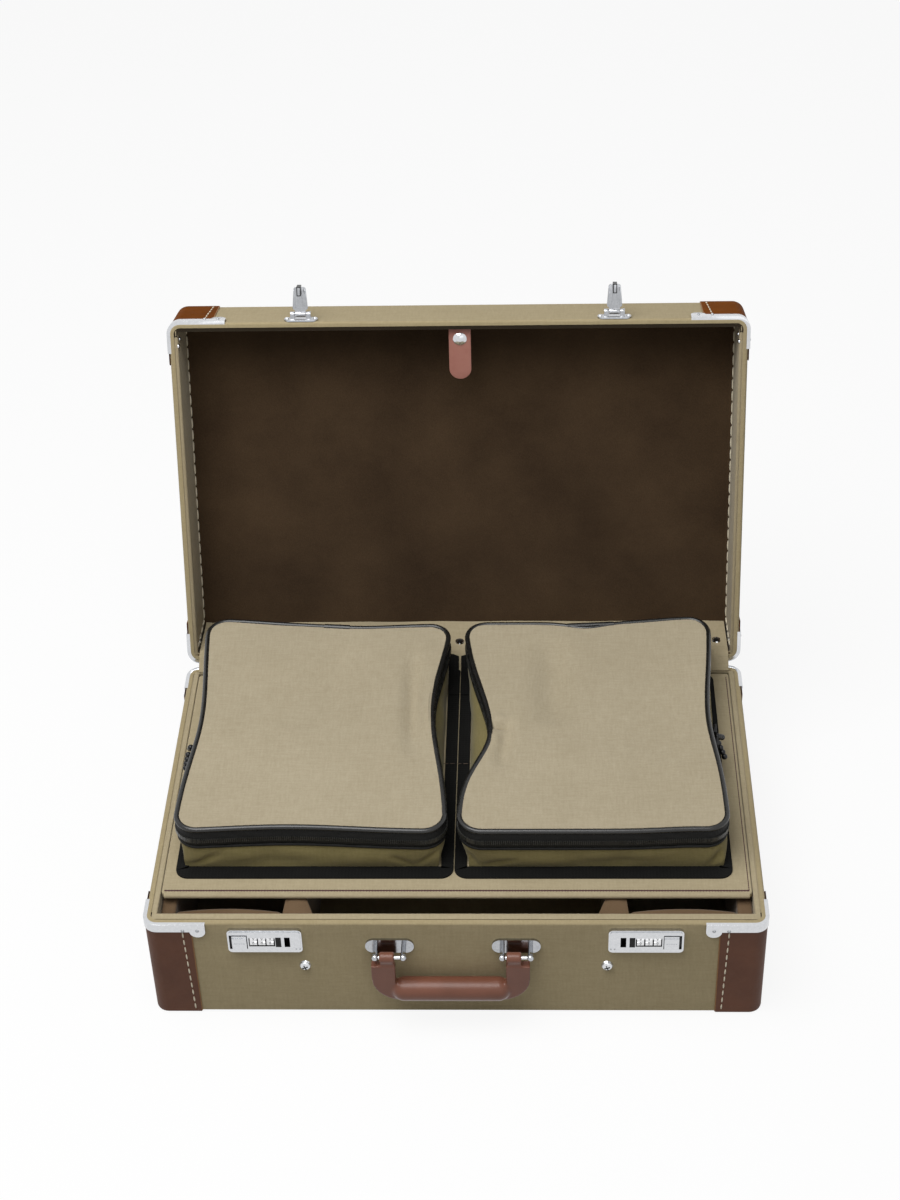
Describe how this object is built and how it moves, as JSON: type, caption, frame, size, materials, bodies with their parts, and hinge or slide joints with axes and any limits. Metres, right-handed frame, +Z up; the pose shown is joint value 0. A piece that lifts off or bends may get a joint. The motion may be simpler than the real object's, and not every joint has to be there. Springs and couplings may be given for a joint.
{
  "type": "microphone flight case",
  "caption": "Suitcase-style hard case with a padded base, zipped organiser pouches on a lifting panel, combination locks and a carrying handle.",
  "frame": {"origin": "middle of the footprint, on the surface that the leather soles stand on", "axes": "+Z up, -Y towards the locks and the handle, +X to the case's right"},
  "size_m": [0.5536, 0.5417, 0.4867],
  "materials": {
    "plywood": "matt",
    "olive_canvas": "woven canvas",
    "khaki_cloth": "woven cotton",
    "pouch_cloth": "woven cotton",
    "brown_suede": "brushed suede",
    "dark_leather": "satin",
    "tan_leather": "satin",
    "handle_leather": "satin",
    "chrome": "polished",
    "dial_metal": "polished",
    "black_metal": "black enamel",
    "black_trim": "woven tape",
    "zip_tape": "nylon zip tape"
  },
  "bodies": {
    "case_base": {"base_board": "plywood", "base_canvas": "olive_canvas", "base_lining": "khaki_cloth", "base_corner_leather": "dark_leather", "base_corner_soles": "dark_leather", "base_corner_brackets": "chrome", "base_bracket_nails": "chrome", "compartment_foam": "brown_suede", "divider_left": "brown_suede", "divider_right": "brown_suede", "divider_screws": "chrome", "lock_case_left": "chrome", "lock_case_right": "chrome", "lock_axles": "chrome", "handle_mounts": "chrome", "handle_pins": "chrome", "hinge_base_leaves": "chrome", "hinge_pins": "chrome", "hinge_gusset": "khaki_cloth", "gusset_eyelets": "black_metal"},
    "lid": {"lid_board": "plywood", "lid_canvas": "olive_canvas", "lid_lining": "brown_suede", "lid_side_lining": "khaki_cloth", "lid_corner_leather": "tan_leather", "lid_corner_brackets": "chrome", "lid_bracket_nails": "chrome", "hinge_lid_leaves": "chrome", "hasp_bases": "chrome"},
    "hasp_left": {"hasp_left": "chrome"},
    "hasp_right": {"hasp_right": "chrome"},
    "lock_slide_left": {"lock_slide_left": "chrome"},
    "lock_slide_right": {"lock_slide_right": "chrome"},
    "lock_dial_left_1": {"lock_dial_left_1": "dial_metal"},
    "lock_dial_left_2": {"lock_dial_left_2": "dial_metal"},
    "lock_dial_left_3": {"lock_dial_left_3": "dial_metal"},
    "lock_dial_right_1": {"lock_dial_right_1": "dial_metal"},
    "lock_dial_right_2": {"lock_dial_right_2": "dial_metal"},
    "lock_dial_right_3": {"lock_dial_right_3": "dial_metal"},
    "handle": {"handle_grip": "handle_leather"},
    "snap_tab": {"snap_tab": "handle_leather", "snap_cap": "chrome"},
    "organiser_panel": {"panel_board": "khaki_cloth", "panel_bead": "khaki_cloth", "pouch_tray_left": "pouch_cloth", "pouch_tray_right": "pouch_cloth", "pouch_binding_left": "black_trim", "pouch_binding_right": "black_trim", "pouch_zip_left": "zip_tape", "pouch_zip_right": "zip_tape"},
    "pouch_flap_left": {"pouch_flap_left": "pouch_cloth", "pouch_piping_left": "black_trim"},
    "zip_slider_left_rear": {"zip_slider_left_rear": "black_metal"},
    "zip_slider_left_front": {"zip_slider_left_front": "black_metal"},
    "pouch_flap_right": {"pouch_flap_right": "pouch_cloth", "pouch_piping_right": "black_trim"},
    "zip_slider_right_rear": {"zip_slider_right_rear": "black_metal"},
    "zip_slider_right_front": {"zip_slider_right_front": "black_metal"}
  },
  "joints": [
    {"name": "lid_hinge", "type": "hinge", "parent": "case_base", "child": "lid", "pos_m": [0, 0.178, 0.1153], "axis": [-1, 0, 0], "range_deg": [-107, 0], "deforming": ["hinge_gusset", "gusset_eyelets"]},
    {"name": "hasp_left_hinge", "type": "hinge", "parent": "lid", "child": "hasp_left", "pos_m": [-0.148, 0.28731, 0.45676], "axis": [-1, 0, 0], "range_deg": [-90, 0]},
    {"name": "hasp_right_hinge", "type": "hinge", "parent": "lid", "child": "hasp_right", "pos_m": [0.148, 0.28731, 0.45676], "axis": [-1, 0, 0], "range_deg": [-90, 0]},
    {"name": "lock_slide_left_travel", "type": "slide", "parent": "case_base", "child": "lock_slide_left", "axis": [-1, 0, 0], "range_m": [0, 0.002], "stiffness_N_per_m": 150},
    {"name": "lock_slide_right_travel", "type": "slide", "parent": "case_base", "child": "lock_slide_right", "axis": [1, 0, 0], "range_m": [0, 0.002], "stiffness_N_per_m": 150},
    {"name": "lock_dial_left_1_spin", "type": "hinge", "parent": "case_base", "child": "lock_dial_left_1", "pos_m": [-0.163, -0.173, 0.096], "axis": [1, 0, 0], "continuous": true},
    {"name": "lock_dial_left_2_spin", "type": "hinge", "parent": "case_base", "child": "lock_dial_left_2", "pos_m": [-0.1704, -0.173, 0.096], "axis": [1, 0, 0], "continuous": true},
    {"name": "lock_dial_left_3_spin", "type": "hinge", "parent": "case_base", "child": "lock_dial_left_3", "pos_m": [-0.1778, -0.173, 0.096], "axis": [1, 0, 0], "continuous": true},
    {"name": "lock_dial_right_1_spin", "type": "hinge", "parent": "case_base", "child": "lock_dial_right_1", "pos_m": [0.163, -0.173, 0.096], "axis": [1, 0, 0], "continuous": true},
    {"name": "lock_dial_right_2_spin", "type": "hinge", "parent": "case_base", "child": "lock_dial_right_2", "pos_m": [0.1704, -0.173, 0.096], "axis": [1, 0, 0], "continuous": true},
    {"name": "lock_dial_right_3_spin", "type": "hinge", "parent": "case_base", "child": "lock_dial_right_3", "pos_m": [0.1778, -0.173, 0.096], "axis": [1, 0, 0], "continuous": true},
    {"name": "handle_swing", "type": "hinge", "parent": "case_base", "child": "handle", "pos_m": [-0.004, -0.188, 0.087], "axis": [-1, 0, 0], "range_deg": [-3, 100]},
    {"name": "panel_lift", "type": "hinge", "parent": "case_base", "child": "organiser_panel", "pos_m": [0, 0.1642, 0.112], "axis": [-1, 0, 0], "range_deg": [0, 40]},
    {"name": "flap_left_lift", "type": "hinge", "parent": "organiser_panel", "child": "pouch_flap_left", "pos_m": [-0.1284, 0.1634, 0.1698], "axis": [-1, 0, 0], "range_deg": [0, 60]},
    {"name": "flap_right_lift", "type": "hinge", "parent": "organiser_panel", "child": "pouch_flap_right", "pos_m": [0.1244, 0.1634, 0.1698], "axis": [-1, 0, 0], "range_deg": [0, 60]},
    {"name": "zip_slider_left_rear_travel", "type": "slide", "parent": "organiser_panel", "child": "zip_slider_left_rear", "axis": [-0.0599, 0.9982, 0], "range_m": [0, 0.09]},
    {"name": "zip_slider_left_front_travel", "type": "slide", "parent": "organiser_panel", "child": "zip_slider_left_front", "axis": [-0.1289, -0.9917, 0], "range_m": [0, 0.05]},
    {"name": "zip_slider_right_rear_travel", "type": "slide", "parent": "organiser_panel", "child": "zip_slider_right_rear", "axis": [0.0847, 0.9964, 0], "range_m": [0, 0.09]},
    {"name": "zip_slider_right_front_travel", "type": "slide", "parent": "organiser_panel", "child": "zip_slider_right_front", "axis": [0.1142, -0.9935, 0], "range_m": [0, 0.05]},
    {"name": "snap_tab_swing", "type": "hinge", "parent": "lid", "child": "snap_tab", "pos_m": [0.002, 0.28594, 0.44202], "axis": [-1, 0, 0], "range_deg": [-40, 60], "stiffness_Nm_per_rad": 0.03}
  ]
}
